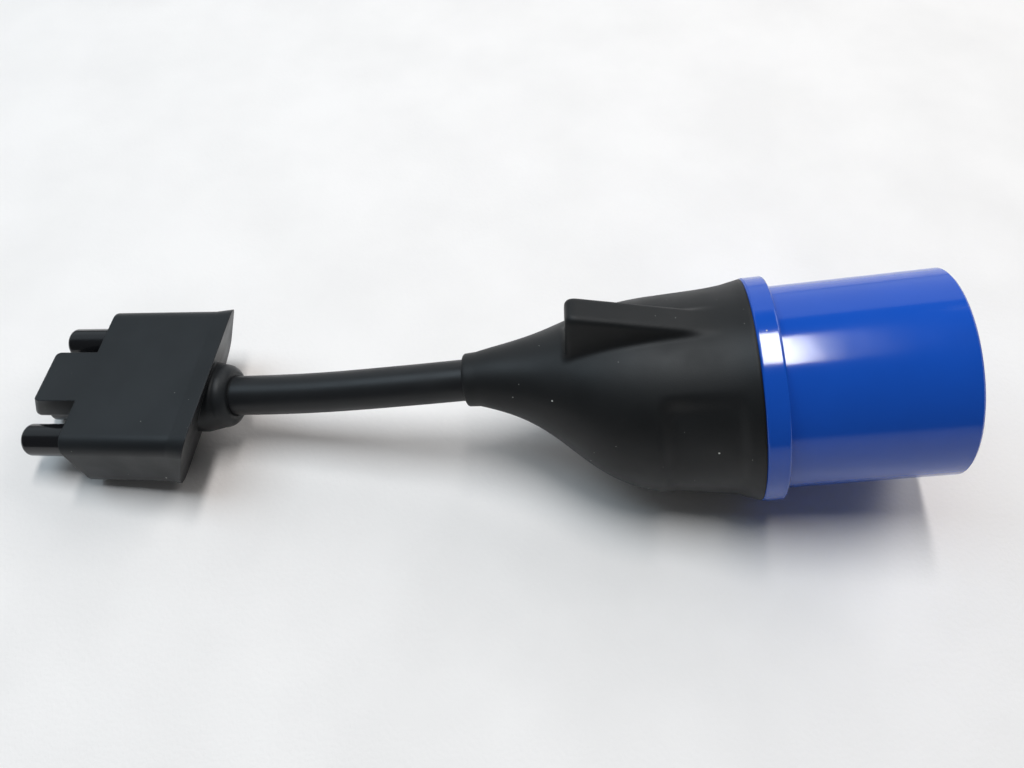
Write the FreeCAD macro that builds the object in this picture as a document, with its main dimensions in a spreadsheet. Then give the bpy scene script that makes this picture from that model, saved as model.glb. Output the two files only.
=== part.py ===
import FreeCAD, Part
import math
import os
import re

import Sketcher
from FreeCAD import Placement, Rotation, Vector

# A short adapter lead: a blue 32 A plug with a black moulded grip, a stiff three-core cable and a flat
# adapter head with three contact towers. The plug is drawn about its own axis, with +X toward its mouth
# and +Z toward the fin, from the plane where the grip meets the flange. The head is drawn from the lower
# edge of its front face, with +X toward the cable and +Z up. Both are then laid down as the lead rests:
# on the flange and on that edge. In the finished frame +X runs along the lead toward the plug's mouth,
# +Z is up, and the origin lies on the resting plane, under the middle of the whole lead.

SIZES = {
    # overrun of cutting shapes, and sink of joined ones
    "cut_margin": 1.0,
    # plug shroud
    "flange_radius": 35.5,
    "flange_width": 6.9,
    "shroud_length": 59.3,
    "shroud_radius": 32.0,
    "shroud_wall": 2.8,
    "floor_front": 8.3,
    "floor_thickness": 4.0,
    "skirt_length": 9.0,
    "skirt_radius": 29.0,
    "skirt_wall": 2.8,
    "rim_rounding": 0.8,
    "mouth_bevel": 0.6,
    "keyway_width": 7.0,
    "keyway_depth": 2.6,
    # pins
    "pin_circle_radius": 16.5,
    "pin_angle": 30.0,
    "pin_shank_step": 0.5,
    "power_pin_radius": 3.0,
    "power_pin_tip": 44.0,
    "earth_pin_radius": 4.0,
    "earth_pin_tip": 48.0,
    "pin_tip_chamfer": 1.2,
    "pin_collar_step": 1.5,
    "pin_collar_length": 2.0,
    "barrel_length": 10.0,
    "barrel_wall": 1.0,
    "pin_gap": 0.1,
    # moulded grip: places behind the flange, radii, and rises toward the fin
    "grip_rim_step": 0.2,
    "shoulder_back": 20.0,
    "shoulder_radius": 32.5,
    "shoulder_rise": 1.2,
    "belly_back": 40.0,
    "belly_radius": 29.2,
    "belly_rise": 4.0,
    "waist_back": 53.0,
    "waist_radius": 23.0,
    "waist_rise": 8.6,
    "taper_back": 62.0,
    "taper_radius": 17.2,
    "taper_rise": 12.7,
    "neck_back": 73.0,
    "neck_radius": 12.0,
    "neck_rise": 16.3,
    "boot_back": 84.9,
    "boot_radius": 8.5,
    "boot_collar": 3.3,
    "boot_rounding": 0.8,
    "cable_rise": 18.1,
    # fin
    "fin_thickness": 9.2,
    "fin_front_back": 54.0,
    "fin_front_height": 46.0,
    "fin_end_back": 12.0,
    "fin_end_height": 34.5,
    "fin_rounding": 1.6,
    "fin_corner": 3.0,
    # recesses for labels, left bare
    "recess_front": 5.5,
    "recess_back": 25.5,
    "recess_depth": 2.0,
    "recess_axis_place": 3.3,
    "recess_half_angle": 43.0,
    # cover inside the grip
    "grip_wall": 6.5,
    "cover_wall": 1.8,
    "cover_step": 1.7,
    "cover_back": 65.0,
    "mould_gap": 0.2,
    # cable
    "sheath_radius": 6.65,
    "sheath_bore": 5.45,
    "grip_gap": 0.1,
    "sheath_in_plug_back": 66.0,
    "free_span": 78.45,
    "side_step": 4.75,
    "straight_lead": 16.0,
    "core_radius": 1.6,
    "insulation_radius": 2.4,
    "insulation_gap": 0.05,
    "core_spacing": 2.9,
    "sensor_wire_radius": 0.5,
    "sensor_wire_spacing": 1.3,
    "sensor_wire_place": 4.4,
    "sensor_wire_angle": 210.0,
    "sensor_length": 3.0,
    # where the cores spread behind the two housings' contacts
    "core_bend_room": 5.5,
    "core_end_gap": 0.5,
    "insulation_end_gap": 0.3,
    "core_lead_in_head": 5.5,
    "core_lead_in_plug": 7.0,
    "core_spread_in_head": 28.0,
    "core_spread_in_plug": 50.0,
    "sensor_lead_in_plug": 6.0,
    "sensor_spread_in_head": 24.0,
    "sensor_spread_in_plug": 56.0,
    # adapter head
    "head_width": 57.4,
    "head_height": 27.1,
    "head_length": 44.5,
    "head_slope": 0.51,
    "head_top_rounding": 5.1,
    "head_bottom_rounding": 7.9,
    "lip_length": 6.1,
    "lip_flare": 0.65,
    "head_wall": 2.4,
    "head_front_wall": 2.5,
    "head_rear_wall": 4.0,
    "head_cable_height": 13.8,
    "boss_end": 48.3,
    "boss_foot_radius": 12.2,
    "boss_radius": 10.7,
    "boss_end_radius": 8.2,
    "boss_bulge": 0.5,
    "head_cover_wall": 1.4,
    # contact carrier and contacts
    "carrier_thickness": 2.5,
    "tower_radius": 5.4,
    "tower_spread": 20.1,
    "tower_height": 17.1,
    "tower_reach": 19.1,
    "tower_tip_flat": 3.75,
    "tower_foot_step": 0.3,
    "earth_tower_radius": 4.75,
    "earth_tower_height": 8.2,
    "earth_tower_reach": 23.6,
    "tower_mouth_radius": 2.8,
    "tower_mouth_length": 2.0,
    "socket_radius": 2.7,
    "socket_bore": 2.0,
    "socket_bore_length": 16.0,
    "socket_collar_radius": 4.0,
    "socket_collar_length": 1.4,
    "socket_barrel_end": 11.5,
    "socket_slot": 0.8,
    "socket_slot_length": 9.0,
    "spring_wall": 0.6,
    "spring_width": 3.0,
    "spring_back": 4.0,
    # signal block, board and its parts; the block and the earth tower stand off the head's middle, so that
    # the head fits one way only
    "key_offset": -1.05,
    "signal_half_width": 9.9,
    "signal_bottom": 16.6,
    "signal_reach": 15.8,
    "signal_rounding": 2.0,
    "signal_slope": 0.6,
    "signal_contact_side": 1.0,
    "signal_contact_pitch": 4.0,
    "signal_contact_count": 4,
    "signal_contact_end": 10.0,
    "signal_contact_set_in": 1.5,
    "board_thickness": 1.6,
    "board_length": 14.0,
    "board_half_width": 8.5,
    "board_bottom": 21.4,
    "chip_side": 4.0,
    "chip_thickness": 1.1,
    "component_gap": 1.0,
    "resistor_length": 3.2,
    "resistor_width": 1.6,
    # how the lead lies
    "plug_tilt": 10.1,
    "plug_roll": 6.5,
    "head_pitch": 8.5,
    "head_yaw": 5.8,
}

doc = FreeCAD.newDocument("adapter_lead")
sheet = doc.addObject("Spreadsheet::Sheet", "sizes")
for row, (alias, value) in enumerate(SIZES.items(), start=1):
    sheet.set(f"A{row}", alias)
    sheet.set(f"B{row}", str(value))
    sheet.setAlias(f"B{row}", alias)
doc.recompute()


def size(expression):
    """Value of an expression written in the sheet's names."""
    value = sheet.evalExpression(str(expression))
    return float(getattr(value, "Value", value))


def bind(item, path, expression):
    """Ties a property of an object to an expression written in the sheet's names."""
    def cell_name(word):
        return f"sizes.{word[0]}" if word[0] in SIZES else word[0]

    item.setExpression(path, re.sub(r"[a-z_]+", cell_name, str(expression)))


# ---- drawing helpers ----

def new_body(name):
    body = doc.addObject("PartDesign::Body", name)
    body.Label = name
    return body


def new_sketch(body, name, plane, along="0", right="0", up="0"):
    """Sketch on one of the body's own origin planes, moved along its normal and in its plane."""
    sketch = body.newObject("Sketcher::SketchObject", name)
    support = [item for item in body.Origin.OriginFeatures if item.Role == plane][0]
    sketch.AttachmentSupport = (support, [""])
    sketch.MapMode = "FlatFace"
    bind(sketch, "AttachmentOffset.Base.x", right)
    bind(sketch, "AttachmentOffset.Base.y", up)
    bind(sketch, "AttachmentOffset.Base.z", along)
    return sketch


def locate(sketch, shape_index, point_index, place):
    """Fixes one point of a sketch at a pair of expressions."""
    for kind, expression in zip(("DistanceX", "DistanceY"), place):
        fixed = Sketcher.Constraint(kind, -1, 1, shape_index, point_index, size(expression))
        number = sketch.addConstraint(fixed)
        bind(sketch, f"Constraints[{number}]", expression)


def draw_outline(sketch, corners):
    """Closed outline of straight lines through corners given as pairs of expressions."""
    places = [Vector(size(right), size(up), 0) for right, up in corners]
    first = sketch.GeometryCount
    for here, there in zip(places, places[1:] + places[:1]):
        sketch.addGeometry(Part.LineSegment(here, there))
    for index, corner in enumerate(corners):
        before = first + (index - 1) % len(corners)
        sketch.addConstraint(Sketcher.Constraint("Coincident", before, 2, first + index, 1))
        locate(sketch, first + index, 1, corner)


def draw_circle(sketch, place, radius):
    centre = Vector(size(place[0]), size(place[1]), 0)
    index = sketch.addGeometry(Part.Circle(centre, Vector(0, 0, 1), size(radius)))
    locate(sketch, index, 3, place)
    number = sketch.addConstraint(Sketcher.Constraint("Radius", index, size(radius)))
    bind(sketch, f"Constraints[{number}]", radius)


def box_corners(left, right, bottom, top):
    return [(left, bottom), (right, bottom), (right, top), (left, top)]


def turn(body, name, corners, right="0", up="0", cut=False):
    """Turns an outline of (x, radius) corners about a line along X."""
    sketch = new_sketch(body, name + "_outline", "XZ_Plane", along=f"-({right})", up=up)
    draw_outline(sketch, corners)
    feature = body.newObject("PartDesign::Groove" if cut else "PartDesign::Revolution", name)
    feature.Profile = sketch
    feature.ReferenceAxis = (sketch, ["H_Axis"])
    feature.Angle = 360
    doc.recompute()
    return feature


def extrude(body, name, sketch, length, cut=False, both_ways=False, backward=False):
    """Pad or pocket. A pad grows along the sketch's normal and a pocket cuts against it, unless backward."""
    volume_before = body.Shape.Volume if body.Tip else 0
    feature = body.newObject("PartDesign::Pocket" if cut else "PartDesign::Pad", name)
    feature.Profile = sketch
    bind(feature, "Length", length)
    feature.Midplane = both_ways
    feature.Reversed = backward
    doc.recompute()
    grows = body.Shape.Volume > volume_before
    if grows == cut:
        raise ValueError(f"{name} changed nothing or went the wrong way")
    return feature


def dress_edges(body, kind, name, wanted):
    """Fillet or chamfer on the edges of the body's last feature that the test picks out."""
    base = body.Tip
    edges = [f"Edge{number}" for number, edge in enumerate(base.Shape.Edges, start=1) if wanted(edge)]
    feature = body.newObject(kind, name)
    feature.Base = (base, edges)
    return feature


def round_edges(body, name, radius, wanted):
    feature = dress_edges(body, "PartDesign::Fillet", name, wanted)
    bind(feature, "Radius", radius)
    doc.recompute()


def bevel_edges(body, name, width, wanted):
    feature = dress_edges(body, "PartDesign::Chamfer", name, wanted)
    bind(feature, "Size", width)
    doc.recompute()


EDGE_TOLERANCE = 0.01


def is_ring_at(x_place, radius=None):
    """Test for round edges about X at one place along it."""
    def wanted(edge):
        if not isinstance(edge.Curve, Part.Circle):
            return False
        about_x = abs(abs(edge.Curve.Axis.x) - 1) < EDGE_TOLERANCE
        right_radius = radius is None or abs(edge.Curve.Radius - radius) < EDGE_TOLERANCE
        return about_x and right_radius and abs(edge.Curve.Center.x - x_place) < EDGE_TOLERANCE
    return wanted


# ---- blue plug ----

def pin_place(name):
    """Where a pin stands across the plug."""
    return Vector(0, size(PIN_ACROSS[name]), size(PIN_UP[name]))


# The earth pin stands opposite the fin.
PIN_ACROSS = {
    "earth": "0",
    "neutral": "pin_circle_radius * cos(pin_angle)",
    "line": "-pin_circle_radius * cos(pin_angle)",
}
PIN_UP = {
    "earth": "-pin_circle_radius",
    "neutral": "pin_circle_radius * sin(pin_angle)",
    "line": "pin_circle_radius * sin(pin_angle)",
}
PIN_RADIUS = {"earth": "earth_pin_radius", "neutral": "power_pin_radius", "line": "power_pin_radius"}
PIN_TIP = {"earth": "earth_pin_tip", "neutral": "power_pin_tip", "line": "power_pin_tip"}


def draw_pin_holes(sketch):
    """Holes for the pins' shanks."""
    for name in PIN_UP:
        radius = f"{PIN_RADIUS[name]} + pin_shank_step + pin_gap"
        draw_circle(sketch, (PIN_ACROSS[name], PIN_UP[name]), radius)


def make_plug_shroud():
    body = new_body("plug_shroud")
    bore = "(shroud_radius - shroud_wall)"
    floor_back = "(floor_front - floor_thickness)"
    turn(body, "shroud_form", [
        ("-skirt_length", "skirt_radius - skirt_wall"),
        ("-skirt_length", "skirt_radius"),
        ("0", "skirt_radius"),
        ("0", "flange_radius"),
        ("flange_width", "flange_radius"),
        ("flange_width", "shroud_radius"),
        ("shroud_length", "shroud_radius"),
        ("shroud_length", bore),
        ("floor_front", bore),
        ("floor_front", "0"),
        (floor_back, "0"),
        (floor_back, "skirt_radius - skirt_wall"),
    ])
    rib_half = "(keyway_width / 2 + shroud_wall)"
    rib = new_sketch(body, "key_rib_outline", "YZ_Plane", along="flange_width - cut_margin")
    rib_outside = f"-({bore} + keyway_depth + shroud_wall)"
    draw_outline(rib, box_corners(f"-{rib_half}", rib_half, rib_outside, f"-({bore} + shroud_wall / 2)"))
    extrude(body, "key_rib", rib, "shroud_length - flange_width + cut_margin")
    groove = new_sketch(body, "keyway_outline", "YZ_Plane", along="shroud_length")
    draw_outline(groove, box_corners("-keyway_width / 2", "keyway_width / 2", f"-({bore} + keyway_depth)",
                                     f"-({bore} - keyway_depth)"))
    extrude(body, "keyway", groove, "shroud_length - floor_front", cut=True)
    holes = new_sketch(body, "pin_hole_outlines", "YZ_Plane", along="floor_front")
    draw_pin_holes(holes)
    extrude(body, "pin_holes", holes, "floor_thickness + cut_margin", cut=True)
    front_edge = is_ring_at(size("flange_width"), size("flange_radius"))
    back_edge = is_ring_at(0, size("flange_radius"))
    round_edges(body, "flange_rounding", "rim_rounding", lambda edge: front_edge(edge) or back_edge(edge))
    mouth = size("shroud_length")
    bevel_edges(body, "mouth_bevel", "mouth_bevel",
                lambda edge: all(abs(vertex.X - mouth) < EDGE_TOLERANCE for vertex in edge.Vertexes))
    return body


def make_pin_carrier():
    body = new_body("pin_carrier")
    edge_radius = "skirt_radius - skirt_wall - pin_gap"
    floor_back = "floor_front - floor_thickness"
    turn(body, "carrier_disc", box_corners("-skirt_length", floor_back, "0", edge_radius))
    holes = new_sketch(body, "shank_hole_outlines", "YZ_Plane", along=floor_back)
    draw_pin_holes(holes)
    extrude(body, "shank_holes", holes, "skirt_length + floor_front", cut=True)
    pocket = new_sketch(body, "sensor_pocket_outline", "YZ_Plane", along="-skirt_length")
    draw_circle(pocket, ("0", "pin_circle_radius / 2"), "sensor_wire_spacing + pin_gap")
    extrude(body, "sensor_pocket", pocket, "skirt_length / 2", cut=True, backward=True)
    return body


def make_pin(name):
    """Turned pin: crimp barrel, collar on the back of the carrier, wider shank, and the free pin."""
    body = new_body(f"{name}_pin")
    radius = PIN_RADIUS[name]
    tip = PIN_TIP[name]
    shank = f"{radius} + pin_shank_step"
    collar = f"{radius} + pin_collar_step"
    bore = "core_radius + insulation_gap"
    collar_back = "-(skirt_length + pin_collar_length)"
    back = "-(skirt_length + pin_collar_length + barrel_length)"
    turn(body, "turned_pin", [
        (back, "0"),
        (back, f"{bore} + barrel_wall"),
        (collar_back, f"{bore} + barrel_wall"),
        (collar_back, collar),
        ("-skirt_length", collar),
        ("-skirt_length", shank),
        ("floor_front", shank),
        ("floor_front + pin_shank_step", radius),
        (f"{tip} - pin_tip_chamfer", radius),
        (tip, f"{radius} - pin_tip_chamfer"),
        (tip, "0"),
    ], right=PIN_ACROSS[name], up=PIN_UP[name])
    turn(body, "crimp_bore", box_corners(back, collar_back, "0", bore),
         right=PIN_ACROSS[name], up=PIN_UP[name], cut=True)
    return body


# ---- black moulded grip ----

def add_loft(body, name, sections, cut=False, straight=False):
    """Loft through rings about lines along X, given as (place behind the flange, radius, rise)."""
    rings = []
    for number, (back, radius, rise) in enumerate(sections):
        ring = new_sketch(body, f"{name}_ring_{number}", "YZ_Plane", along=f"-({back})")
        draw_circle(ring, ("0", rise), radius)
        rings.append(ring)
    doc.recompute()
    feature = body.newObject("PartDesign::SubtractiveLoft" if cut else "PartDesign::AdditiveLoft", name)
    feature.Profile = rings[0]
    feature.Sections = rings[1:]
    feature.Ruled = straight
    doc.recompute()


GRIP_RIM = "(flange_radius - grip_rim_step)"
GRIP_SECTIONS = [
    ("0", GRIP_RIM, "0"),
    ("shoulder_back", "shoulder_radius", "shoulder_rise"),
    ("belly_back", "belly_radius", "belly_rise"),
    ("waist_back", "waist_radius", "waist_rise"),
    ("taper_back", "taper_radius", "taper_rise"),
    ("neck_back", "neck_radius", "neck_rise"),
    ("boot_back", "boot_radius", "cable_rise"),
]


def cover_sections(inset):
    """The cover lies one wall inside the grip and narrows to a collar around the cable."""
    return [
        ("skirt_length", f"skirt_radius - cover_step - ({inset})", "0"),
        ("shoulder_back", f"shoulder_radius - grip_wall - ({inset})", "shoulder_rise"),
        ("belly_back", f"belly_radius - grip_wall - ({inset})", "belly_rise"),
        ("waist_back", f"waist_radius - grip_wall - ({inset})", "waist_rise"),
        ("cover_back", f"sheath_radius + grip_gap + cover_wall - ({inset})", "cable_rise"),
    ]


def add_fin(body):
    """Pull fin with a blunt front, whose tip falls in a straight line into the grip."""
    fin = new_sketch(body, "fin_outline", "XZ_Plane")
    draw_outline(fin, [
        ("-fin_front_back", "fin_front_height"),
        ("-fin_front_back", "waist_rise"),
        ("-fin_end_back", "waist_rise"),
        ("-fin_end_back", "fin_end_height"),
    ])
    extrude(body, "fin", fin, "fin_thickness", both_ways=True)
    front = -size("fin_front_back")
    bottom = size("waist_rise")

    def is_tip_corner(edge):
        return all(v.X < front + EDGE_TOLERANCE and v.Z > bottom + EDGE_TOLERANCE for v in edge.Vertexes)

    def is_fin_edge(edge):
        ends = edge.Vertexes
        along_tip = all(v.Z > bottom + EDGE_TOLERANCE for v in ends)
        along_front = all(v.X < front + EDGE_TOLERANCE for v in ends)
        one_side = abs(ends[0].Y - ends[-1].Y) < EDGE_TOLERANCE
        return one_side and (along_tip or along_front)

    round_edges(body, "fin_corner_form", "fin_corner", is_tip_corner)
    round_edges(body, "fin_rounding_form", "fin_rounding", is_fin_edge)


def make_plug_body():
    body = new_body("plug_body")
    add_fin(body)
    add_loft(body, "grip_form", GRIP_SECTIONS)
    collar = new_sketch(body, "boot_collar_outline", "YZ_Plane", along="-boot_back")
    draw_circle(collar, ("0", "cable_rise"), "boot_radius")
    extrude(body, "boot_collar_form", collar, "boot_collar", backward=True)
    end = -size("boot_back + boot_collar")
    round_edges(body, "boot_rounding_form", "boot_rounding", is_ring_at(end))
    fall = f"({GRIP_RIM} - shoulder_radius) / shoulder_back"
    recess = new_sketch(body, "recess_outline", "XY_Plane")
    draw_outline(recess, [
        ("-recess_front", f"{GRIP_RIM} - {fall} * recess_front - recess_depth"),
        ("-recess_front", f"{GRIP_RIM} + recess_depth"),
        ("-recess_back", f"{GRIP_RIM} + recess_depth"),
        ("-recess_back", f"{GRIP_RIM} - {fall} * recess_back - recess_depth"),
    ])
    axis = new_sketch(body, "recess_axis", "XY_Plane")
    axis.addGeometry(Part.LineSegment(Vector(0, -size("recess_axis_place"), 0),
                                      Vector(-size("recess_back"), -size("recess_axis_place"), 0)))
    locate(axis, 0, 1, ("0", "-recess_axis_place"))
    locate(axis, 0, 2, ("-recess_back", "-recess_axis_place"))
    groove = body.newObject("PartDesign::Groove", "label_recess")
    groove.Profile = recess
    groove.ReferenceAxis = (axis, ["Edge1"])
    groove.Midplane = True
    bind(groove, "Angle", "2 * recess_half_angle")
    doc.recompute()
    mirror = body.newObject("PartDesign::Mirrored", "far_label_recess")
    mirror.Originals = [groove]
    mirror.MirrorPlane = ([item for item in body.Origin.OriginFeatures if item.Role == "XZ_Plane"][0], [""])
    body.Tip = mirror
    doc.recompute()
    add_loft(body, "cover_hollow", cover_sections("-mould_gap"), cut=True, straight=True)
    socket = new_sketch(body, "skirt_socket_outline", "YZ_Plane")
    draw_circle(socket, ("0", "0"), "skirt_radius + mould_gap")
    extrude(body, "skirt_socket", socket, "skirt_length", cut=True)
    bore = new_sketch(body, "cable_bore_outline", "YZ_Plane", along="-cover_back + cut_margin")
    draw_circle(bore, ("0", "cable_rise"), "sheath_radius + grip_gap")
    extrude(body, "cable_bore", bore, "boot_back + boot_collar - cover_back + 2 * cut_margin", cut=True)
    return body


def make_plug_cover():
    body = new_body("plug_inner_cover")
    add_loft(body, "cover_form", cover_sections("0"), straight=True)
    add_loft(body, "cover_room", cover_sections("cover_wall"), cut=True, straight=True)
    return body


# ---- adapter head ----

def rounded_rectangle(half_width, bottom, top, bottom_radius, top_radius):
    """Closed face across X with rounded lower and upper corners."""
    corners = [(half_width, bottom, bottom_radius), (half_width, top, top_radius),
               (-half_width, top, top_radius), (-half_width, bottom, bottom_radius)]
    edges = []
    count = len(corners)
    ends = []
    for index, (right, up, radius) in enumerate(corners):
        corner = Vector(0, right, up)
        before = Vector(0, *corners[index - 1][:2])
        after = Vector(0, *corners[(index + 1) % count][:2])
        first = corner + (before - corner).normalize() * radius
        last = corner + (after - corner).normalize() * radius
        inward = (first - corner) + (last - corner)
        middle = corner + inward * (1 - 1 / math.sqrt(2))
        ends.append((first, middle, last))
    for index, (first, middle, last) in enumerate(ends):
        edges.append(Part.Arc(first, middle, last).toShape())
        edges.append(Part.LineSegment(last, ends[(index + 1) % count][0]).toShape())
    return Part.Face(Part.Wire(edges))


def head_block(inset, front, rear_at_top):
    """Head form drawn in by an inset, from a square front to the slanted rear plane."""
    height = size("head_height")
    face = rounded_rectangle(size("head_width") / 2 - inset, inset, height - inset,
                             size("head_bottom_rounding") - inset, size("head_top_rounding") - inset)
    face.translate(Vector(front, 0, 0))
    block = face.extrude(Vector(2 * size("head_length"), 0, 0))
    reach = 2 * height
    slope = size("head_slope")
    far = 4 * size("head_length")
    side = [Vector(rear_at_top - slope * (height + reach), 0, -reach), Vector(far, 0, -reach),
            Vector(far, 0, height + reach), Vector(rear_at_top + slope * reach, 0, height + reach)]
    cutter = Part.Face(Part.makePolygon(side + side[:1])).extrude(Vector(0, 2 * size("head_width"), 0))
    cutter.translate(Vector(0, -size("head_width"), 0))
    return block.cut(cutter)


def slanted_end(block):
    """Outline of the block's slanted rear face."""
    slope = size("head_slope")
    outward = Vector(1, 0, -slope).normalize()
    for face in block.Faces:
        if isinstance(face.Surface, Part.Plane) and face.normalAt(0, 0).dot(outward) > 0.999:
            return face.OuterWire
    raise ValueError("no slanted face")


def round_bar(start, end, radius, right=0, up=0):
    return Part.makeCylinder(radius, end - start, Vector(start, right, up), Vector(1, 0, 0))


# Each tower: place across, height, radius and reach before the front face.
TOWERS = {
    "line": ("-tower_spread", "tower_height", "tower_radius", "tower_reach"),
    "neutral": ("tower_spread", "tower_height", "tower_radius", "tower_reach"),
    "earth": ("key_offset", "earth_tower_height", "earth_tower_radius", "earth_tower_reach"),
}
CARRIER_FRONT = "head_front_wall + mould_gap"
CARRIER_BACK = "head_front_wall + mould_gap + carrier_thickness"


def foot_holes(start, end):
    """Cutting bars for the feet of the three towers."""
    holes = []
    for across, up, radius, _ in TOWERS.values():
        hole_radius = size(f"{radius} + tower_foot_step + grip_gap")
        holes.append(round_bar(start, end, hole_radius, size(across), size(up)))
    return holes


def signal_places():
    """Signal contacts side by side under the board."""
    pitch = size("signal_contact_pitch")
    count = int(size("signal_contact_count"))
    return [size("key_offset") + pitch * (number - (count - 1) / 2) for number in range(count)]


def signal_bars(extra, start, end):
    side = size("signal_contact_side") + 2 * extra
    bottom = size("board_bottom - signal_contact_side") - extra
    return [Part.makeBox(end - start, side, side, Vector(start, place - side / 2, bottom))
            for place in signal_places()]


def boss_form():
    """Domed boss around the cable, turned about the cable's line."""
    foot = size("head_length - head_rear_wall - head_slope * head_height")
    shoulder = size("head_length - lip_length")
    rim = size("head_length")
    end = size("boss_end")
    foot_radius = size("boss_foot_radius")
    rim_radius = size("boss_radius")
    end_radius = size("boss_end_radius")
    bulge = size("boss_bulge")
    dome = Vector((rim + end) / 2 + bulge, 0, (rim_radius + end_radius) / 2 + bulge)
    straight = [Vector(end, 0, end_radius), Vector(end, 0, 0), Vector(foot, 0, 0),
                Vector(foot, 0, foot_radius), Vector(shoulder, 0, foot_radius), Vector(rim, 0, rim_radius)]
    edges = [Part.LineSegment(here, there).toShape() for here, there in zip(straight, straight[1:])]
    edges.append(Part.Arc(straight[-1], dome, straight[0]).toShape())
    boss = Part.Face(Part.Wire(edges)).revolve(Vector(0, 0, 0), Vector(1, 0, 0), 360)
    boss.translate(Vector(0, 0, size("head_cable_height")))
    return boss


def signal_block_form():
    """Block that carries the signal contacts, level with the head's top, its front slanted."""
    half = size("signal_half_width")
    reach = size("signal_reach")
    bottom = size("signal_bottom")
    top = size("head_height")
    near = size("key_offset") - half
    foremost = -reach - size("signal_slope") * (top - bottom)
    side = [Vector(-reach, near, top), Vector(foremost, near, bottom),
            Vector(0, near, bottom), Vector(0, near, top)]
    block = Part.Face(Part.makePolygon(side + side[:1])).extrude(Vector(0, 2 * half, 0))

    def is_front_edge(edge):
        return all(vertex.X < -reach + EDGE_TOLERANCE for vertex in edge.Vertexes)

    def is_lower_side_edge(edge):
        low = all(vertex.Z < bottom + EDGE_TOLERANCE for vertex in edge.Vertexes)
        return low and edge.BoundBox.XLength > reach - EDGE_TOLERANCE

    rounded = [edge for edge in block.Edges if is_front_edge(edge) or is_lower_side_edge(edge)]
    return block.makeFillet(size("signal_rounding"), rounded)


def make_head_shell():
    length = size("head_length")
    margin = size("cut_margin")
    block = head_block(0, 0, length - size("lip_length"))
    flared = head_block(-size("lip_flare"), 0, length)
    lip = Part.makeLoft([slanted_end(block), slanted_end(flared)], True, True)
    form = block.fuse([lip, boss_form(), signal_block_form()]).removeSplitter()
    front_wall = size("head_front_wall")
    room = head_block(size("head_wall"), front_wall, length - size("head_rear_wall"))
    bore = round_bar(front_wall, size("boss_end") + margin, size("sheath_radius + grip_gap"), 0,
                     size("head_cable_height"))
    slots = signal_bars(size("insulation_gap"), -2 * size("signal_reach"), front_wall + margin)
    return form.cut([room, bore] + foot_holes(-margin, size(CARRIER_BACK)) + slots)


def make_contact_carrier():
    """Plate behind the front wall that holds the towers' feet."""
    inset = size("head_wall + mould_gap")
    front = size(CARRIER_FRONT)
    back = size(CARRIER_BACK)
    margin = size("cut_margin")
    plate = rounded_rectangle(size("head_width") / 2 - inset, inset, size("head_height") - inset,
                              size("head_bottom_rounding") - inset, size("head_top_rounding") - inset)
    plate.translate(Vector(front, 0, 0))
    form = plate.extrude(Vector(back - front, 0, 0))
    slots = signal_bars(size("insulation_gap"), 0, back + margin)
    return form.cut(foot_holes(0, back + margin) + slots)


def make_tower(name):
    """Turned sleeve around one contact, with a wider foot through the front wall and the carrier."""
    body = new_body(f"{name}_tower")
    across, up, radius, reach = TOWERS[name]
    foot = f"{radius} + tower_foot_step"
    turn(body, "sleeve", [
        (f"-{reach}", "0"),
        (f"-{reach}", radius),
        ("-tower_foot_step", radius),
        ("0", foot),
        (CARRIER_BACK, foot),
        (CARRIER_BACK, "0"),
    ], right=across, up=up)
    round_edges(body, "tip_rounding", f"{radius} - tower_tip_flat", is_ring_at(-size(reach)))
    seat = "socket_radius + spring_wall + insulation_gap"
    turn(body, "contact_room", [
        (f"-({reach} + cut_margin)", "0"),
        (f"-({reach} + cut_margin)", "tower_mouth_radius"),
        (f"tower_mouth_length - {reach}", "tower_mouth_radius"),
        (f"tower_mouth_length - {reach}", seat),
        (f"{CARRIER_BACK} + cut_margin", seat),
        (f"{CARRIER_BACK} + cut_margin", "0"),
    ], right=across, up=up, cut=True)
    return body


def contact_start(reach):
    """Where a socket's split mouth begins inside its tower."""
    return size(f"tower_mouth_length + insulation_gap - {reach}")


def make_socket(name):
    """Turned socket: split mouth in the tower, collar behind the tower's foot, crimp barrel behind that."""
    across, up, _, reach = TOWERS[name]
    across = size(across)
    up = size(up)
    margin = size("cut_margin")
    start = contact_start(reach)
    back = size(CARRIER_BACK)
    collar_end = back + size("socket_collar_length")
    barrel_end = size("socket_barrel_end")
    barrel_bore = size("core_radius + insulation_gap")
    radius = size("socket_radius")
    form = round_bar(start, collar_end, radius, across, up).fuse([
        round_bar(back, collar_end, size("socket_collar_radius"), across, up),
        round_bar(collar_end, barrel_end, barrel_bore + size("barrel_wall"), across, up),
    ]).removeSplitter()
    slot = size("socket_slot")
    slit = Part.makeBox(size("socket_slot_length") + margin, slot, 2 * (radius + margin),
                        Vector(start - margin, across - slot / 2, up - radius - margin))
    return form.cut([
        round_bar(start - margin, start + size("socket_bore_length"), size("socket_bore"), across, up),
        round_bar(collar_end, barrel_end + margin, barrel_bore, across, up),
        slit,
    ])


def make_spring(name):
    """Spring ring around the split mouth of one socket."""
    across, up, _, reach = TOWERS[name]
    start = contact_start(reach) + size("spring_back")
    end = start + size("spring_width")
    margin = size("cut_margin")
    ring = round_bar(start, end, size("socket_radius + spring_wall"), size(across), size(up))
    hole = round_bar(start - margin, end + margin, size("socket_radius + insulation_gap / 2"), size(across),
                     size(up))
    return ring.cut(hole)


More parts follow.
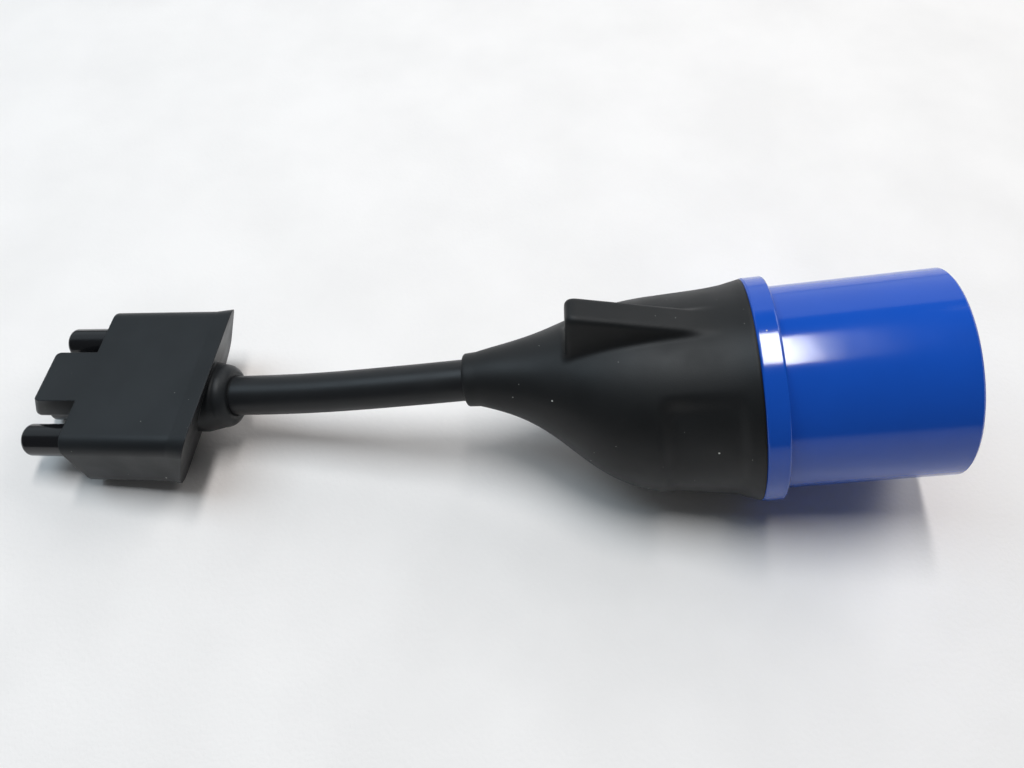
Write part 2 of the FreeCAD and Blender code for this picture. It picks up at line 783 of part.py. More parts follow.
def make_head_cover():
    """Stiff inner cover behind the carrier, with a hole for the cable."""
    inset = size("head_wall + mould_gap")
    wall = size("head_cover_wall")
    front = size(CARRIER_BACK)
    rear = size("head_length - head_rear_wall - mould_gap")
    outer = head_block(inset, front, rear)
    room = head_block(inset + wall, front - size("cut_margin"), rear - wall)
    hole = round_bar(front, size("boss_end"), size("sheath_radius + grip_gap"), 0, size("head_cable_height"))
    return outer.cut([room, hole])


def make_board():
    half = size("board_half_width")
    return Part.makeBox(size("board_length"), 2 * half, size("board_thickness"),
                        Vector(size(CARRIER_BACK), -half, size("board_bottom")))


def make_chip():
    side = size("chip_side")
    thickness = size("chip_thickness")
    corner = Vector(size("signal_contact_end + component_gap"), -side / 2, size("board_bottom") - thickness)
    return Part.makeBox(side, side, thickness, corner)


def make_resistor():
    width = size("resistor_width")
    corner = Vector(size("signal_contact_end + component_gap"), size("chip_side / 2 + component_gap"),
                    size("board_bottom") - width / 2)
    return Part.makeBox(size("resistor_length"), width, width / 2, corner)


# ---- cable and its cores ----

GENTLE_HALF_TURN = math.radians(3)
ARC_SHARE = 0.45


def rounded_path(points, bend_room=math.inf, head_cut=0, plug_cut=0):
    """Straight runs joined by tangent arcs as large as the runs allow, or the bend room inside a housing.

    The cuts draw the two ends back along their runs.
    """
    edges = []
    radii = []
    start = points[0] + (points[1] - points[0]).normalize() * head_cut
    end = points[-1] + (points[-2] - points[-1]).normalize() * plug_cut
    for before, corner, after in zip(points, points[1:], points[2:]):
        into = corner - before
        out = after - corner
        half_turn = into.getAngle(out) / 2
        room = math.inf if half_turn < GENTLE_HALF_TURN else bend_room
        reach = min(ARC_SHARE * min(into.Length, out.Length), room)
        radius = reach / math.tan(half_turn)
        first = corner - Vector(into).normalize() * reach
        last = corner + Vector(out).normalize() * reach
        inward = (first + last - corner * 2).normalize()
        middle = corner + inward * (radius / math.cos(half_turn) - radius)
        edges.append(Part.LineSegment(start, first).toShape())
        edges.append(Part.Arc(first, middle, last).toShape())
        radii.append(radius)
        start = last
    edges.append(Part.LineSegment(start, end).toShape())
    return Part.Wire(edges), radii


def make_tube(name, points, radius, bore=0, bend_room=math.inf, head_cut=0, plug_cut=0):
    """Round tube along a path of runs and arcs, with its volume compared with section times length."""
    path, radii = rounded_path(points, bend_room, head_cut, plug_cut)
    heading = points[1] - points[0]
    start = points[0] + Vector(heading).normalize() * head_cut

    def rod(rod_radius):
        ring = Part.Wire(Part.makeCircle(rod_radius, start, heading))
        return path.makePipeShell([ring], True, False)

    tube = rod(radius)
    if bore:
        tube = tube.cut(rod(bore))
    expected = math.pi * (radius ** 2 - bore ** 2) * path.Length
    print(f"{name}: length {path.Length:.1f}, arc radii {[round(r, 1) for r in radii]}, "
          f"volume {tube.Volume / expected:.4f} of section times length")
    return tube


def plug_placement():
    """The plug lies on its flange, with its mouth tilted up and the fin leaning away."""
    tilt = size("plug_tilt")
    height = size("flange_radius") * math.cos(math.radians(tilt))
    turned = Rotation(Vector(0, 1, 0), -tilt).multiply(Rotation(Vector(1, 0, 0), -size("plug_roll")))
    return Placement(Vector(0, 0, height), turned)


def head_placement(plug):
    """The head rests on the lower edge of its front face, one free span of cable from the grip."""
    pitched = Rotation(Vector(0, 1, 0), -size("head_pitch"))
    turned = Rotation(Vector(0, 0, 1), -size("head_yaw")).multiply(pitched)
    grip_end = plug.multVec(Vector(-size("boot_back + boot_collar"), 0, size("cable_rise")))
    boss_end = turned.multVec(Vector(size("boss_end"), 0, size("head_cable_height")))
    place = grip_end + Vector(-size("free_span"), size("side_step"), 0) - boss_end
    place.z = 0
    return Placement(place, turned)


doc.recompute()
plug_at = plug_placement()
head_at = head_placement(plug_at)


def in_plug(back, across, up):
    return plug_at.multVec(Vector(-back, across, up))


def in_head(along, across, up):
    return head_at.multVec(Vector(along, across, up))


# The four points of the cable's own route: its end inside the head, one point a straight lead beyond each
# housing, and its end inside the plug.
cable_up = size("head_cable_height")
sheath_in_head = size("head_length - head_rear_wall - head_slope * (head_height - head_cable_height)")
CABLE_ROUTE = [
    in_head(sheath_in_head, 0, cable_up),
    in_head(size("boss_end + straight_lead"), 0, cable_up),
    in_plug(size("boot_back + boot_collar + straight_lead"), 0, size("cable_rise")),
    in_plug(size("sheath_in_plug_back"), 0, size("cable_rise")),
]
chord = CABLE_ROUTE[2] - CABLE_ROUTE[1]
across_lead = Vector(0, 0, 1).cross(chord).normalize()
up_lead = chord.cross(across_lead).normalize()


def bundle_offset(angle, radius):
    """Place in the cable's section, as an offset from its centre line."""
    turned = math.radians(angle)
    return across_lead * (radius * math.cos(turned)) + up_lead * (radius * math.sin(turned))


CORE_ANGLE = {"earth": -90, "neutral": 30, "line": 150}


def core_route(name):
    """From the socket's barrel through the cable to the pin's barrel."""
    across, up = (size(place) for place in TOWERS[name][:2])
    pin = pin_place(name)
    offset = bundle_offset(CORE_ANGLE[name], size("core_spacing"))
    return [
        in_head(size(f"{CARRIER_BACK} + socket_collar_length + core_end_gap"), across, up),
        in_head(size("socket_barrel_end + core_lead_in_head"), across, up),
        in_head(size("core_spread_in_head"), 0, cable_up) + offset,
        CABLE_ROUTE[1] + offset,
        CABLE_ROUTE[2] + offset,
        in_plug(size("core_spread_in_plug"), 0, size("cable_rise")) + offset,
        in_plug(size("skirt_length + pin_collar_length + barrel_length + core_lead_in_plug"), pin.y, pin.z),
        in_plug(size("skirt_length + pin_collar_length + core_end_gap"), pin.y, pin.z),
    ]


def make_conductor(name):
    return make_tube(f"{name}_conductor", core_route(name), size("core_radius"),
                     bend_room=size("core_bend_room"))


def make_insulation(name):
    """Ends a small gap from the two barrels, where the conductor goes on."""
    head_barrel = size(f"socket_barrel_end - ({CARRIER_BACK}) - socket_collar_length - core_end_gap")
    plug_barrel = size("barrel_length - core_end_gap")
    gap = size("insulation_end_gap")
    return make_tube(f"{name}_insulation", core_route(name), size("insulation_radius"),
                     size("core_radius + insulation_gap"), size("core_bend_room"), head_barrel + gap,
                     plug_barrel + gap)


def sensor_back():
    """How far behind the flange the sensor's bead ends."""
    return size("skirt_length / 2 + insulation_gap + sensor_length")


def make_sensor_wires():
    """Two thin wires from the plug's temperature sensor to the board in the head."""
    wires = []
    half = size("sensor_wire_spacing") / 2
    bundle_angle = size("sensor_wire_angle")
    sensor_up = size(PIN_UP["line"])
    board_end = size(f"{CARRIER_BACK} + board_length - component_gap")
    under_board = size("board_bottom - sensor_wire_radius - insulation_gap")
    bundle_place = bundle_offset(bundle_angle, size("sensor_wire_place"))
    for side in (-half, half):
        offset = bundle_place + bundle_offset(bundle_angle - 90, side)
        points = [
            in_head(board_end, side, under_board),
            in_head(size("sensor_spread_in_head"), 0, cable_up) + offset,
            CABLE_ROUTE[1] + offset,
            CABLE_ROUTE[2] + offset,
            in_plug(size("sensor_spread_in_plug"), 0, size("cable_rise")) + offset,
            in_plug(size("skirt_length + sensor_lead_in_plug"), side, sensor_up),
            in_plug(sensor_back(), side, sensor_up),
        ]
        wires.append(make_tube("sensor wire", points, size("sensor_wire_radius"),
                               bend_room=size("core_bend_room")))
    return Part.makeCompound(wires)


def make_temperature_sensor():
    """Bead in the carrier's pocket, between the two power pins."""
    return round_bar(-sensor_back(), -size("skirt_length / 2 + insulation_gap"), size("sensor_wire_spacing"),
                     0, size(PIN_UP["line"]))


# ---- assembly ----

def add_shape(name, shape):
    item = doc.addObject("Part::Feature", name)
    item.Label = name
    item.Shape = shape
    return item


def build_plug_pieces():
    pieces = [make_plug_shroud(), make_pin_carrier(), make_plug_body(), make_plug_cover()]
    pieces += [make_pin(name) for name in PIN_UP]
    pieces.append(add_shape("temperature_sensor", make_temperature_sensor()))
    return pieces


def build_head_pieces():
    contact_bars = signal_bars(0, size("signal_contact_set_in - signal_reach"), size("signal_contact_end"))
    pieces = [
        add_shape("head_shell", make_head_shell()),
        add_shape("contact_carrier", make_contact_carrier()),
        add_shape("head_inner_cover", make_head_cover()),
        add_shape("id_board", make_board()),
        add_shape("id_chip", make_chip()),
        add_shape("id_resistor", make_resistor()),
        add_shape("signal_contacts", Part.makeCompound(contact_bars)),
        add_shape("socket_springs", Part.makeCompound([make_spring(name) for name in TOWERS])),
    ]
    pieces += [make_tower(name) for name in TOWERS]
    pieces += [add_shape(f"{name}_socket", make_socket(name)) for name in TOWERS]
    return pieces


def build_cable_pieces():
    sheath = make_tube("cable_sheath", CABLE_ROUTE, size("sheath_radius"), size("sheath_bore"))
    pieces = [add_shape("cable_sheath", sheath)]
    for name in CORE_ANGLE:
        pieces.append(add_shape(f"{name}_conductor", make_conductor(name)))
        pieces.append(add_shape(f"{name}_insulation", make_insulation(name)))
    pieces.append(add_shape("sensor_wires", make_sensor_wires()))
    return pieces


placed = [(piece, plug_at) for piece in build_plug_pieces()]
placed += [(piece, head_at) for piece in build_head_pieces()]
placed += [(piece, Placement()) for piece in build_cable_pieces()]
for piece, placement in placed:
    piece.Placement = placement
doc.recompute()

box = FreeCAD.BoundBox()
for piece, _ in placed:
    box.add(piece.Shape.optimalBoundingBox(True, False))
to_origin = Placement(Vector(-box.Center.x, -box.Center.y, -box.ZMin), Rotation())
for piece, placement in placed:
    piece.Placement = to_origin.multiply(placement)
doc.recompute()

broken = [item.Name for item in doc.Objects if "Invalid" in item.State or "Error" in item.State]
broken += [piece.Label for piece, _ in placed if piece.Shape.isNull() or not piece.Shape.isValid()]
if broken:
    raise RuntimeError(f"not built: {broken}")
os.makedirs("parts", exist_ok=True)
for piece, _ in placed:
    solids = len(piece.Shape.Solids)
    print(f"{piece.Label}: {solids} solid(s), {piece.Shape.Volume / 1000:.3f} cm3")
    piece.Shape.exportStep(f"parts/{piece.Label}.step")
print(f"{len(placed)} parts, size {box.XLength:.1f} x {box.YLength:.1f} x {box.ZLength:.1f}")
for name, placement in (("plug", plug_at), ("head", head_at)):
    frame = to_origin.multiply(placement)
    print(f"{name} frame: origin {[round(v, 4) for v in frame.Base]}, "
          f"x {[round(v, 5) for v in frame.Rotation.multVec(Vector(1, 0, 0))]}, "
          f"y {[round(v, 5) for v in frame.Rotation.multVec(Vector(0, 1, 0))]}, "
          f"z {[round(v, 5) for v in frame.Rotation.multVec(Vector(0, 0, 1))]}")
print("cable route:", [tuple(round(v, 2) for v in to_origin.multVec(point)) for point in CABLE_ROUTE])
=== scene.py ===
import math

import bmesh
import bpy
import numpy as np
from mathutils import Matrix, Vector


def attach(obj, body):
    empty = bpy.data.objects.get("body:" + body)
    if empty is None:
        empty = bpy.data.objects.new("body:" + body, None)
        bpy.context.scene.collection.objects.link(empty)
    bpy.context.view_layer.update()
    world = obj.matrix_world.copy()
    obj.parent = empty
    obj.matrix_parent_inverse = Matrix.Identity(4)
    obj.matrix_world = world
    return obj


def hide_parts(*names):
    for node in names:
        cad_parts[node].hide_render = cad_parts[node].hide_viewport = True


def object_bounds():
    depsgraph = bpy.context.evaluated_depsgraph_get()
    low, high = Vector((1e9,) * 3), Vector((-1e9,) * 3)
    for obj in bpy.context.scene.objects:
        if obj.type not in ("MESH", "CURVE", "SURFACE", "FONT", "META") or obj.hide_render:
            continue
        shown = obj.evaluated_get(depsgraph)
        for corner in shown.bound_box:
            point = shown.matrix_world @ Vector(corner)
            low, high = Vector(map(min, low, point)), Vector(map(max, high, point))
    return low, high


# All lengths are in metres, and all powers in watts.

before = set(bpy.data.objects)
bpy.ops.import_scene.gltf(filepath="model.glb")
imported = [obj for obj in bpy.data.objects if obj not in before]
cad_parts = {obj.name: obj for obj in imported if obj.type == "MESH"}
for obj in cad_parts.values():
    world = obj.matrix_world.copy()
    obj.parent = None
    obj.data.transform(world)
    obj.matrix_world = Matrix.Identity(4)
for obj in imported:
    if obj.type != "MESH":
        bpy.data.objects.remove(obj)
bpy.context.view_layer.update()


# ---- camera: above the near side, looking down ----

CAMERA_PLACE = (0.01197, -0.1531, 0.26145)
CAMERA_ELEVATION = math.radians(56)
CAMERA_LENS_MM = 29.88
CAMERA_NEAR_LIMIT = 0.01
SENSOR_WIDTH_MM = 36


def add_camera():
    data = bpy.data.cameras.new("photo_camera")
    data.lens = CAMERA_LENS_MM
    data.sensor_width = SENSOR_WIDTH_MM
    data.clip_start = CAMERA_NEAR_LIMIT
    camera = bpy.data.objects.new("photo_camera", data)
    camera.location = CAMERA_PLACE
    camera.rotation_euler = (math.radians(90) - CAMERA_ELEVATION, 0, 0)
    bpy.context.collection.objects.link(camera)
    bpy.context.scene.camera = camera


# ---- material helpers ----

BEVEL_SAMPLES = 4
SPECK_CORE = 0.6  # share of a speck's radius that is fully dusty
COLOR_DRIFT_RANGE = (0.35, 0.65)  # noise values between which the colour drifts
ROUGHNESS_DRIFT_RANGE = (0.3, 0.7)
DUST = (0.62, 0.62, 0.58)
FAINT_DUST = (0.3, 0.3, 0.28)


class Look:
    """A node material under construction: one shader, with object coordinates."""

    def __init__(self, name, color, roughness, specular=0.5):
        self.material = bpy.data.materials.new(name)
        self.material.use_nodes = True
        self.tree = self.material.node_tree
        self.shader = self.tree.nodes["Principled BSDF"]
        self.shader.inputs["Base Color"].default_value = (*color, 1)
        self.shader.inputs["Roughness"].default_value = roughness
        self.shader.inputs["Specular IOR Level"].default_value = specular
        self.color = color
        self.coords = self.tree.nodes.new("ShaderNodeTexCoord").outputs["Object"]
        self.normal = None

    def node(self, kind, **values):
        made = self.tree.nodes.new(kind)
        for name, value in values.items():
            setattr(made, name, value)
        return made

    def link(self, start, end):
        self.tree.links.new(start, end)

    def noise(self, size, detail=2.0, stretch=(1, 1, 1)):
        """Noise whose features are about this size."""
        mapping = self.node("ShaderNodeMapping")
        mapping.inputs["Scale"].default_value = stretch
        self.link(self.coords, mapping.inputs["Vector"])
        noise = self.node("ShaderNodeTexNoise")
        noise.inputs["Scale"].default_value = 1 / size
        noise.inputs["Detail"].default_value = detail
        self.link(mapping.outputs["Vector"], noise.inputs["Vector"])
        return noise.outputs["Fac"]

    def ramp(self, value, low, high, out_low=0.0, out_high=1.0):
        """Carries a value from one range to another, held at the ends."""
        ranged = self.node("ShaderNodeMapRange")
        numbers = {"From Min": low, "From Max": high, "To Min": out_low, "To Max": out_high}
        for name, number in numbers.items():
            ranged.inputs[name].default_value = number
        self.link(value, ranged.inputs["Value"])
        return ranged.outputs["Result"]

    def mix_color(self, factor, first, second):
        """Mixes two colours, each a tuple or another node's output."""
        mix = self.node("ShaderNodeMix", data_type="RGBA")
        self.link(factor, mix.inputs["Factor"])
        for socket, color in ((mix.inputs["A"], first), (mix.inputs["B"], second)):
            if isinstance(color, tuple):
                socket.default_value = (*color, 1)
            else:
                self.link(color, socket)
        return mix.outputs["Result"]

    def vary_color(self, size, darker, lighter):
        """Slow drift of the colour between two shares of it."""
        drift = self.ramp(self.noise(size, detail=3.0), *COLOR_DRIFT_RANGE)
        low = tuple(channel * darker for channel in self.color)
        high = tuple(channel * lighter for channel in self.color)
        return self.mix_color(drift, low, high)

    def vary_roughness(self, size, low, high):
        drift = self.ramp(self.noise(size, detail=3.0), *ROUGHNESS_DRIFT_RANGE, low, high)
        self.link(drift, self.shader.inputs["Roughness"])

    def use_normal(self, normal):
        self.normal = normal
        self.link(normal, self.shader.inputs["Normal"])

    def bump(self, value, depth):
        """Adds relief of this depth."""
        bump = self.node("ShaderNodeBump")
        bump.inputs["Strength"].default_value = 1.0
        bump.inputs["Distance"].default_value = depth
        self.link(value, bump.inputs["Height"])
        if self.normal is not None:
            self.link(self.normal, bump.inputs["Normal"])
        self.use_normal(bump.outputs["Normal"])

    def soften_edges(self, radius):
        """Shades the edges as if they were rounded to this radius."""
        bevel = self.node("ShaderNodeBevel", samples=BEVEL_SAMPLES)
        bevel.inputs["Radius"].default_value = radius
        self.use_normal(bevel.outputs["Normal"])

    def specks(self, spacing, radius, share):
        """Mask of small round dust specks on a share of the cells of a 3-D grid of points."""
        cells = self.node("ShaderNodeTexVoronoi", feature="F1")
        cells.inputs["Scale"].default_value = 1 / spacing
        self.link(self.coords, cells.inputs["Vector"])
        edge = radius / spacing
        near = self.ramp(cells.outputs["Distance"], edge, SPECK_CORE * edge)
        split = self.node("ShaderNodeSeparateColor")
        self.link(cells.outputs["Color"], split.inputs["Color"])
        chosen = self.node("ShaderNodeMath", operation="LESS_THAN")
        self.link(split.outputs[0], chosen.inputs[0])
        chosen.inputs[1].default_value = share
        both = self.node("ShaderNodeMath", operation="MULTIPLY")
        self.link(near, both.inputs[0])
        self.link(chosen.outputs[0], both.inputs[1])
        return both.outputs[0]

    def finish_color(self, color):
        self.link(color, self.shader.inputs["Base Color"])


def moulded_rubber(name, color, roughness, grain, depth, dust_share, edge_radius):
    """Matte moulded rubber with a fine spark-eroded grain, softened edges and specks of dust."""
    look = Look(name, color, roughness, specular=0.28)
    look.soften_edges(edge_radius)
    shade = look.vary_color(0.02, darker=0.85, lighter=1.15)
    fine_specks = look.specks(spacing=0.0028, radius=0.00014, share=3 * dust_share)
    shade = look.mix_color(fine_specks, shade, FAINT_DUST)
    coarse_specks = look.specks(spacing=0.006, radius=0.00035, share=dust_share)
    look.finish_color(look.mix_color(coarse_specks, shade, DUST))
    look.vary_roughness(0.012, roughness - 0.05, roughness + 0.06)
    look.bump(look.noise(grain, detail=3.0), depth)
    return look.material


def glossy_plastic(name, color, roughness, dust_share):
    """Glossy injection moulding, with the slight waviness of a thick wall."""
    look = Look(name, color, roughness)
    shade = look.vary_color(0.03, darker=0.96, lighter=1.04)
    specks = look.specks(spacing=0.007, radius=0.0003, share=dust_share)
    look.finish_color(look.mix_color(specks, shade, DUST))
    look.vary_roughness(0.02, roughness * 0.85, roughness * 1.2)
    look.bump(look.noise(0.009, detail=1.0), depth=0.00002)
    return look.material


def plated_metal(name, color, roughness):
    """Turned and plated metal with faint tool rings."""
    look = Look(name, color, roughness)
    look.shader.inputs["Metallic"].default_value = 1.0
    look.finish_color(look.vary_color(0.004, darker=0.92, lighter=1.06))
    look.vary_roughness(0.003, roughness * 0.8, roughness * 1.3)
    look.bump(look.noise(0.0006, stretch=(8, 1, 1)), depth=0.000004)
    return look.material


def plain_plastic(name, color, roughness):
    """Plain moulded plastic of the inner pieces."""
    look = Look(name, color, roughness, specular=0.4)
    look.finish_color(look.vary_color(0.006, darker=0.9, lighter=1.1))
    look.bump(look.noise(0.0008), depth=0.000012)
    return look.material


def cable_rubber(name, color, roughness):
    """Extruded sheath: smooth, with faint lines along its length."""
    look = Look(name, color, roughness, specular=0.3)
    shade = look.vary_color(0.015, darker=0.9, lighter=1.1)
    specks = look.specks(spacing=0.006, radius=0.0003, share=0.1)
    look.finish_color(look.mix_color(specks, shade, DUST))
    look.vary_roughness(0.01, roughness - 0.05, roughness + 0.05)
    look.bump(look.noise(0.0012, stretch=(0.08, 1, 1)), depth=0.00001)
    return look.material


# ---- the object's finishes ----

def show(piece, material):
    piece.data.materials.clear()
    piece.data.materials.append(material)


def finish_nodes():
    """Gives every CAD node its finish, and the grip's moulding the one of the node it replaces."""
    grip = moulded_rubber("grip_black", (0.008, 0.0085, 0.009), roughness=0.48, grain=0.00035,
                          depth=0.000022, dust_share=0.12, edge_radius=0.0016)
    head = moulded_rubber("head_black", (0.012, 0.0135, 0.015), roughness=0.42, grain=0.0003,
                          depth=0.000015, dust_share=0.1, edge_radius=0.0006)
    blue = glossy_plastic("shroud_blue", (0.005, 0.072, 0.435), roughness=0.12, dust_share=0.06)
    tower = glossy_plastic("tower_black", (0.006, 0.006, 0.007), roughness=0.16, dust_share=0.03)
    metal = plated_metal("nickel_plate", (0.62, 0.58, 0.5), roughness=0.22)
    copper = plated_metal("copper", (0.72, 0.36, 0.2), roughness=0.35)
    steel = plated_metal("spring_steel", (0.5, 0.5, 0.5), roughness=0.3)
    carrier = plain_plastic("carrier_grey", (0.1, 0.1, 0.105), roughness=0.5)
    cover = plain_plastic("cover_black", (0.02, 0.02, 0.02), roughness=0.5)
    brown = plain_plastic("core_brown", (0.1, 0.035, 0.012), roughness=0.4)
    core_blue = plain_plastic("core_blue", (0.01, 0.07, 0.35), roughness=0.4)
    green = plain_plastic("core_green", (0.2, 0.36, 0.03), roughness=0.4)
    white = plain_plastic("wire_white", (0.6, 0.6, 0.56), roughness=0.4)
    bead = plain_plastic("sensor_bead", (0.25, 0.22, 0.12), roughness=0.35)
    board = plain_plastic("board_green", (0.01, 0.1, 0.04), roughness=0.3)
    chip = plain_plastic("chip_black", (0.012, 0.012, 0.012), roughness=0.45)
    small_chip = plain_plastic("chip_black_small", (0.012, 0.012, 0.012), roughness=0.45)
    looks = {
        "plug_shroud": blue, "plug_body": grip, "head_shell": head,
        "line_tower": tower, "neutral_tower": tower, "earth_tower": tower,
        "pin_carrier": carrier,
        "contact_carrier": cover, "plug_inner_cover": cover, "head_inner_cover": cover,
        "line_pin": metal, "neutral_pin": metal, "earth_pin": metal,
        "line_socket": metal, "neutral_socket": metal, "earth_socket": metal,
        "signal_contacts": metal, "socket_springs": steel,
        "line_conductor": copper, "neutral_conductor": copper, "earth_conductor": copper,
        "line_insulation": brown, "neutral_insulation": core_blue, "earth_insulation": green,
        "sensor_wires": white, "temperature_sensor": bead,
        "id_board": board, "id_chip": chip, "id_resistor": small_chip,
    }
    for name, material in looks.items():
        show(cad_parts[name], material)
    show(add_grip(), grip)


# ---- the cable ----

CABLE_ROUTE = [(-0.09542, 0.00586, 0.01863), (-0.06533, 0.0028, 0.02315),
               (-0.01837, -0.00035, 0.03438), (0.01924, -0.00035, 0.04108)]
CABLE_DIAMETER = 0.0133
CABLE_ROUND_STEPS = 12
CABLE_LENGTH_STEPS = 24


def add_cable():
    curve = bpy.data.curves.new("cable", "CURVE")
    curve.dimensions = "3D"
    curve.bevel_depth = CABLE_DIAMETER / 2
    curve.bevel_resolution = CABLE_ROUND_STEPS
    curve.resolution_u = CABLE_LENGTH_STEPS
    curve.use_fill_caps = True
    spline = curve.splines.new("NURBS")
    spline.points.add(len(CABLE_ROUTE) - 1)
    for point, place in zip(spline.points, CABLE_ROUTE):
        point.co = (*place, 1)
    spline.order_u = 3
    spline.use_endpoint_u = True
    cable = bpy.data.objects.new("cable", curve)
    bpy.context.collection.objects.link(cable)
    show(cable, cable_rubber("sheath_black", (0.011, 0.0115, 0.0125), roughness=0.4))
    runs = zip(CABLE_ROUTE, CABLE_ROUTE[1:])
    length = sum((Vector(end) - Vector(start)).length for start, end in runs)
    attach(cable, "root")
    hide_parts("cable_sheath")


# ---- the moulded grip, with its recesses and the fin's tip blended in as rubber moulds them ----

# The plug's own frame: x toward its mouth from the back of the flange, z toward the fin.
PLUG_PLACE = (0.0873663, -0.0024013, 0.0349499)
PLUG_TILT = math.radians(10.1)
PLUG_ROLL = math.radians(6.5)

# Rings of the grip: place behind the flange, radius, rise toward the fin.
GRIP_SECTIONS = [(0, 0.0353, 0), (0.02, 0.0325, 0.0012), (0.04, 0.0292, 0.004),
                 (0.053, 0.023, 0.0086), (0.062, 0.0172, 0.0127), (0.073, 0.012, 0.0163),
                 (0.0849, 0.0085, 0.0181)]
BOOT_START, BOOT_RADIUS, CABLE_RISE = GRIP_SECTIONS[-1]
BOOT_END = 0.0882
BOOT_ROUNDING = 0.0008
# The hollow: the cable's seat, the room round the inner cover, the room for the shroud's skirt.
SEAT_FRONT = 0.065
SEAT_RADIUS = 0.00675
SKIRT_ROOM_BACK = 0.009
SKIRT_ROOM_RADIUS = 0.0292
HOLLOW_SECTIONS = [(BOOT_END, SEAT_RADIUS, CABLE_RISE), (SEAT_FRONT, SEAT_RADIUS, CABLE_RISE),
                   (SEAT_FRONT, 0.00875, CABLE_RISE), (0.053, 0.0167, 0.0086),
                   (0.04, 0.0229, 0.004), (0.02, 0.0262, 0.0012),
                   (SKIRT_ROOM_BACK, 0.0275, 0), (SKIRT_ROOM_BACK, SKIRT_ROOM_RADIUS, 0),
                   (0, SKIRT_ROOM_RADIUS, 0)]

# The fin: its blunt front, with its height there, and its top edge, which falls toward the flange.
FIN_FRONT = 0.0533
FIN_FRONT_HEIGHT = 0.0457
FIN_FALL = 0.298
FIN_HALF_THICKNESS = 0.0049
FIN_SIDE_DRAFT = 0.12
FIN_FRONT_DRAFT = 0.11
FIN_ROUNDING = 0.002
FIN_CORNER = 0.0035
FIN_ROOT_BLEND = 0.0016
FIN_FOOT_LENGTH = 0.004

# The label recess on each side: a floor about an axis of its own, which cuts into the rings.
RECESS_FRONT = 0.0055
RECESS_BACK = 0.0272
RECESS_FRONT_BLEND = 0.0035
RECESS_BACK_BLEND = 0.006
RECESS_HALF_ANGLE = math.radians(42)
RECESS_ANGLE_BLEND = math.radians(11)
RECESS_AXIS_PLACE = 0.0033
RECESS_RADIUS = 0.0366
RECESS_FALL = 0.14

# How finely the grip is drawn. Angles are in degrees from the fin's direction.
CURVE_POINTS = 2000
RINGS_BEFORE_FIN_FRONT = 70
RINGS_AT_FIN_FRONT = 40
RINGS_TO_BOOT = 40
RINGS_AT_BOOT_END = 6
FIN_TOP_ANGLE = 5
FIN_WALL_ANGLE = 25
FIN_WALL_STEP = 0.3
REST_FIRST_ANGLE = 25.8
REST_COUNT = 280
SKIN_SEARCH_START = 0.9  # share of the skin's reach that is surely inside the grip
SKIN_SEARCH_END = 0.06  # reach that is surely outside it
SKIN_SEARCH_STEPS = 30
FAR_OUTSIDE = 1
SHARP_ANGLE = math.radians(38)


def smooth_step(value, middle, width):
    share = np.clip((value - middle) / width + 0.5, 0, 1)
    return share * share * (3 - 2 * share)


def grip_ring(back):
    """Radius and rise at a place behind the flange, on the one smooth curve of the sections."""
    sections = np.array(GRIP_SECTIONS)
    seam = np.column_stack([sections[:, 0], sections[:, 1] - sections[:, 2]])
    along = np.append(0, np.cumsum(np.linalg.norm(np.diff(seam, axis=0), axis=1)))
    along = along / along[-1]
    fine = np.linspace(0, 1, CURVE_POINTS)
    degree = len(sections) - 1
    backs, radii, rises = (np.polyval(np.polyfit(along, column, degree), fine)
                           for column in sections.T)
    return np.interp(back, backs, radii), np.interp(back, backs, rises)


def blend_in(first, second, width):
    """The larger of two distances, rounded where they are near each other."""
    near = np.maximum(width - np.abs(first - second), 0) / width
    return np.maximum(first, second) + near * near * width / 4


def outside_fin(back, across, up):
    """Roughly how far a point is outside the drafted and rounded fin."""
    top_line = FIN_FRONT_HEIGHT - FIN_FALL * (FIN_FRONT - back)
    top = (up - top_line) / math.hypot(1, FIN_FALL)
    side = np.abs(across) - FIN_HALF_THICKNESS - FIN_SIDE_DRAFT * (top_line - up)
    front = back - FIN_FRONT - FIN_FRONT_DRAFT * (FIN_FRONT_HEIGHT - up)
    return blend_in(blend_in(top, front, FIN_CORNER), side, FIN_ROUNDING)


def moulded_reach(back, rise, skin, angles):
    """Distance from the ring's middle to the grip with its fin, whose root is filleted."""
    inner = SKIN_SEARCH_START * skin
    outer = np.full_like(skin, SKIN_SEARCH_END)
    for _ in range(SKIN_SEARCH_STEPS):
        reach = (inner + outer) / 2
        fin = outside_fin(back, reach * np.sin(angles), rise + reach * np.cos(angles))
        fin = np.where(np.cos(angles) > 0, fin, FAR_OUTSIDE)
        inside = -blend_in(skin - reach, -fin, FIN_ROOT_BLEND) < 0
        inner = np.where(inside, reach, inner)
        outer = np.where(inside, outer, reach)
    return inner


def recess_cut(back, radius, rise, angles):
    """How deep the label recess on each side cuts into a ring."""
    across = np.abs(np.sin(angles))
    up = np.cos(angles)
    floor = RECESS_RADIUS - RECESS_FALL * back
    facing = across * RECESS_AXIS_PLACE + up * rise
    reach = np.sqrt(facing ** 2 - RECESS_AXIS_PLACE ** 2 - rise ** 2 + floor ** 2) - facing
    slant = np.arctan2(np.abs(rise + reach * up), RECESS_AXIS_PLACE + reach * across)
    share = (smooth_step(back, RECESS_FRONT, RECESS_FRONT_BLEND)
             * smooth_step(-back, -RECESS_BACK, RECESS_BACK_BLEND)
             * smooth_step(-slant, -RECESS_HALF_ANGLE, RECESS_ANGLE_BLEND))
    return share * np.maximum(radius - reach, 0)


